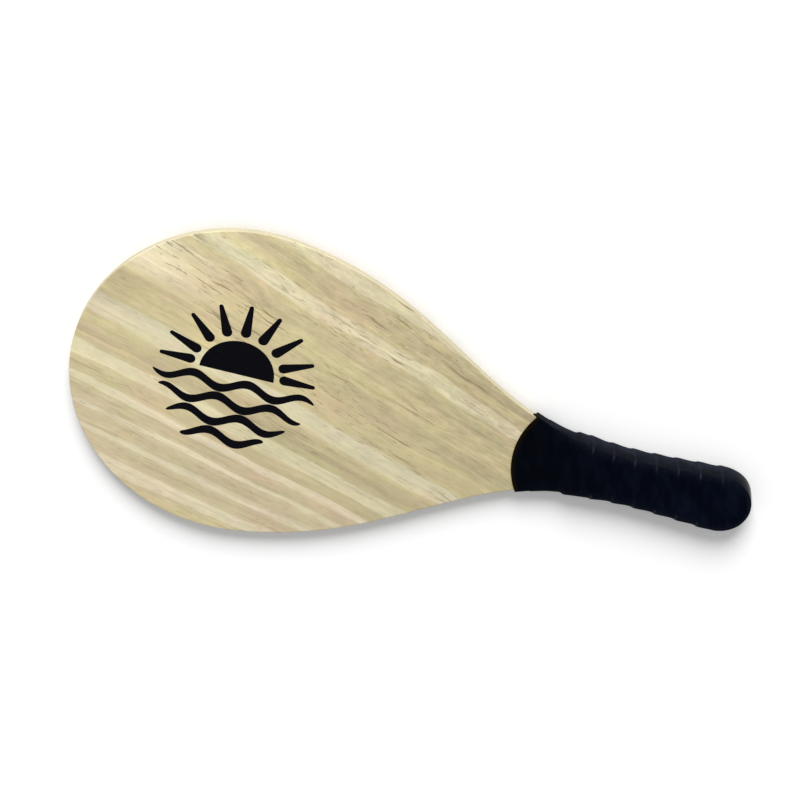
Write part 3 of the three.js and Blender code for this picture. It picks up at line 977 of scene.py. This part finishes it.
def rubber(name):
    """Blue-black rubber with a fine skin and faint smears, with a painted sheen on its upright sides, worn
    spots with painted highlights, and brown at its lip."""
    n = Surface(name)
    skin = n.noise(n.place, scale=2400, detail=3, roughness=0.6)
    pebbles = n.noise(n.place, scale=900, detail=2)
    smears = n.noise(n.vector(*[n.dot(n.place, way) for way in SMEAR_WAYS]), detail=3)
    colour = n.mix(n.span(smears, *SMEAR_SPAN), RUBBER_DARK, RUBBER_LIGHT)
    colour = n.mix(n.span(pebbles, *PEBBLE_SPAN), colour, PEBBLE)
    colour = n.scaled(colour, n.span(n.dot(n.place, (1, 0, 0)), *BUTT_LIGHT))
    lumps = n.noise(n.place, scale=110, detail=3, roughness=0.55)
    # Painted sheen: the upright sides are painted paler than the faces, and lighter still towards the floor as
    # a painted rim highlight
    painted_side_sheen = n.mix(n.span(lumps, *LUMP_SPAN), SIDE_SHEEN_DARK, SIDE_SHEEN_LIGHT)
    painted_side_sheen = n.scaled(painted_side_sheen, n.span(n.dot(n.place, (0, 0, 1)), *SIDE_SHEEN_BY_HEIGHT))
    colour = n.mix(n.edge_share(n.spread(lumps, -LUMPY_BORDER, LUMPY_BORDER)), colour, painted_side_sheen)
    # Worn spots with painted highlights: paler on the nubs and the ridges' crests, and faintly worn along the
    # corners
    wear_and_highlight_share = n.times(n.mark("rubbed"), n.span(n.noise(n.place, scale=520, detail=2), *WEAR_AND_HIGHLIGHT_SPAN))
    colour = n.mix(n.times(wear_and_highlight_share, WEAR_AND_HIGHLIGHT_SHARE), colour, WEAR_AND_HIGHLIGHT)
    colour = n.mix(n.mark("lip"), colour, LIP)
    finish = {
        "Base Color": colour, "Roughness": n.spread(smears, *RUBBER_ROUGH), "Specular IOR Level": 0.015,
        "Sheen Weight": 0.22, "Sheen Roughness": 0.3,
    }
    relief = n.plus(n.times(skin, SKIN_RELIEF), n.times(pebbles, PEBBLE_RELIEF))
    return n.finished(finish, relief, depth=0.00012, strength=0.5)


# The ink's two blacks, how many fibres of the wood fit in a metre along and across the grain, the span of them
# that shows, and the ink's roughness
INK_BLACK = srgb(3, 3, 8)
INK_GREY = srgb(16, 15, 16)
INK_FIBRES = (60, 1500)
INK_FIBRE_SPAN = (0.5, 0.8)
INK_ROUGH = (0.5, 0.62)


def ink(name):
    """Black printing ink that lets the wood's fibres show in its surface."""
    n = Surface(name)
    along = n.dot(n.place, (math.cos(GRAIN_ANGLE), -math.sin(GRAIN_ANGLE), 0))
    across = n.dot(n.place, (math.sin(GRAIN_ANGLE), math.cos(GRAIN_ANGLE), 0))
    lengthwise, crosswise = INK_FIBRES
    fibres = n.noise(n.vector(n.times(along, lengthwise), n.times(across, crosswise)), detail=3)
    colour = n.mix(n.span(fibres, *INK_FIBRE_SPAN), INK_BLACK, INK_GREY)
    finish = {"Base Color": colour, "Roughness": n.spread(fibres, *INK_ROUGH), "Specular IOR Level": 0.04}
    return n.finished(finish, fibres, depth=0.0001, strength=0.5)


# The tape's tones, its threads in radians a metre, how sharply they stand apart, and how dust changes the tone
TAPE_DARK = srgb(26, 27, 30)
TAPE_LIGHT = srgb(52, 53, 58)
THREADS = 9000
WEAVE_SPAN = (-0.6, 0.6)
DUST_TONES = (0.85, 1.15)


def woven_tape(name):
    """Dark woven tape: threads along and across it."""
    n = Surface(name)
    warp = n.math("SINE", n.dot(n.place, (THREADS, 0, 0)))
    weft = n.math("SINE", n.dot(n.place, (0, THREADS, THREADS)))
    weave = n.times(warp, weft)
    dust = n.noise(n.place, scale=180, detail=3)
    colour = n.mix(n.span(weave, *WEAVE_SPAN), TAPE_DARK, TAPE_LIGHT)
    colour = n.scaled(colour, n.spread(dust, *DUST_TONES))
    finish = {"Base Color": colour, "Roughness": 0.9}
    return n.finished(finish, weave, depth=0.0001, strength=0.6)


# Camera, from the photograph: its direction from the racket, how the picture is turned, its distance and the
# scale there, and where the point at AIM_HEIGHT over the frame's origin shows
VIEW_TILT = math.radians(30.83)
VIEW_ROLL = math.radians(13.55)
VIEW_YAW = math.radians(-3.08)
VIEW_DISTANCE = 2.131
PIXELS_PER_METRE = 1454.9
PIXELS = 800
AIM_PIXEL = (412.9, 425.0)
AIM_HEIGHT = 0.009

# Light: the lamp's direction, strength and softness in degrees, and the strength of the light all round
LAMP_TOWARDS = (-0.16, 0.85, 0.5)
LAMP_STRENGTH = 3.3
LAMP_SOFTNESS = 30
WORLD_STRENGTH = 0.42

# The floor's half size, and its grey where it is seen and where it only lights the object
FLOOR_HALF = 6
FLOOR_SEEN = 1.1
FLOOR_LIT = 0.8


def add_camera():
    """The camera at the photograph's place, turned so that the racket's middle shows at AIM_PIXEL."""
    out = Vector((0, math.sin(VIEW_TILT), math.cos(VIEW_TILT)))
    up = Vector((0, math.cos(VIEW_TILT), -math.sin(VIEW_TILT)))
    side = Vector((1, 0, 0))
    back = math.cos(VIEW_YAW) * out + math.sin(VIEW_YAW) * side
    right = math.cos(VIEW_YAW) * side - math.sin(VIEW_YAW) * out
    picture_right = math.cos(VIEW_ROLL) * right + math.sin(VIEW_ROLL) * up
    picture_up = -math.sin(VIEW_ROLL) * right + math.cos(VIEW_ROLL) * up
    focal = PIXELS_PER_METRE * VIEW_DISTANCE
    offset = [(pixel - PIXELS / 2) / focal for pixel in AIM_PIXEL]
    forward = (-back - picture_right * offset[0] + picture_up * offset[1]).normalized()
    turned_right = (picture_right - forward * picture_right.dot(forward)).normalized()
    turned_up = turned_right.cross(forward)
    data = bpy.data.cameras.new("camera")
    data.lens = focal / PIXELS * data.sensor_width
    camera = bpy.data.objects.new("camera", data)
    bpy.context.scene.collection.objects.link(camera)
    axes = Matrix((turned_right, turned_up, -forward)).transposed().to_4x4()
    camera.matrix_world = Matrix.Translation(Vector((0, 0, AIM_HEIGHT)) + back * VIEW_DISTANCE) @ axes
    bpy.context.scene.camera = camera


def add_lamp():
    """A soft distant lamp."""
    data = bpy.data.lights.new("key_lamp", "SUN")
    data.energy = LAMP_STRENGTH
    data.angle = math.radians(LAMP_SOFTNESS)
    lamp = bpy.data.objects.new("key_lamp", data)
    lamp.rotation_mode = "QUATERNION"
    lamp.rotation_quaternion = Vector(LAMP_TOWARDS).to_track_quat("Z", "Y")
    bpy.context.scene.collection.objects.link(lamp)


def add_world():
    """Soft light from all round, white where it is seen."""
    world = bpy.data.worlds.new("studio")
    bpy.context.scene.world = world
    n = Nodes(world)
    background = n.tree.nodes["Background"]
    strengths = {"Factor": n.seen_share(), "A": WORLD_STRENGTH, "B": 1}
    n.link((1, 1, 1), background.inputs["Color"])
    n.link(n.node("Mix", strengths, "Result", data_type="FLOAT"), background.inputs["Strength"])


def add_floor():
    """A plain pale floor under the racket that shows white and keeps its shadow."""
    mesh = bpy.data.meshes.new("floor")
    corners = [(x * FLOOR_HALF, y * FLOOR_HALF, 0) for x, y in ((-1, -1), (1, -1), (1, 1), (-1, 1))]
    mesh.from_pydata(corners, [], [(0, 1, 2, 3)])
    floor = bpy.data.objects.new("floor", mesh)
    bpy.context.scene.collection.objects.link(floor)
    material = bpy.data.materials.new("floor")
    n = Nodes(material)
    n.tree.nodes.clear()
    output = n.tree.nodes.new("ShaderNodeOutputMaterial")
    shade = n.mix(n.seen_share(), (FLOOR_LIT,) * 3, (FLOOR_SEEN,) * 3)
    n.link(n.node("BsdfDiffuse", {"Color": shade}), output.inputs["Surface"])
    mesh.materials.append(material)


def paint(piece, material):
    """Gives a piece its one material."""
    piece.data.materials.clear()
    piece.data.materials.append(material)


def dress(piece, material, slot, *nodes):
    """Gives a piece its material, body and the CAD nodes that it stands for. slot is not used."""
    paint(piece, material)
    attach(piece, "root")
    if nodes:
        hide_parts(*nodes)


# The back veneer has the bands the other way round, and patterns of its own
REAR_BANDS = [(-place, tone) for place, tone in BANDS[::-1]]
REAR_LOG = 40.0

front = veneer("front_veneer", BANDS, GRAIN_ANGLE)
rear = veneer("rear_veneer", REAR_BANDS, -GRAIN_ANGLE, REAR_LOG)
cross = plain_wood("cross_veneer", EDGE_PALE, EDGE_TAN, END_GRAIN)
centre = plain_wood("centre_veneer", EDGE_PALE, EDGE_TAN, LONG_GRAIN)
cheek = plain_wood("cheek_wood", YELLOW_TAN, TAN, LONG_GRAIN)

plies = [
    ("face_ply_front", 2, front, "face_veneer"), ("cross_ply_front", 1, cross, "cross_veneer"),
    ("centre_ply", 0, centre, "centre_veneer"), ("cross_ply_back", -1, cross, "cross_veneer"),
    ("face_ply_back", -2, rear, "face_veneer"),
]
for name, place, material, slot in plies:
    dress(ply(name, place), material, slot, name)
for name in ("handle_cheek_front", "handle_cheek_back"):
    paint(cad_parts[name], cheek)
dress(winding(), woven_tape("winding_tape"), "winding_tape", "grip_winding")
dress(sleeve(), rubber("grip_rubber"), "grip_rubber", "grip_sleeve")
dress(face_print(), ink("black_ink"), "face_veneer")

add_camera()
add_world()
add_lamp()
add_floor()

settings = bpy.context.scene.view_settings
settings.view_transform = "Standard"
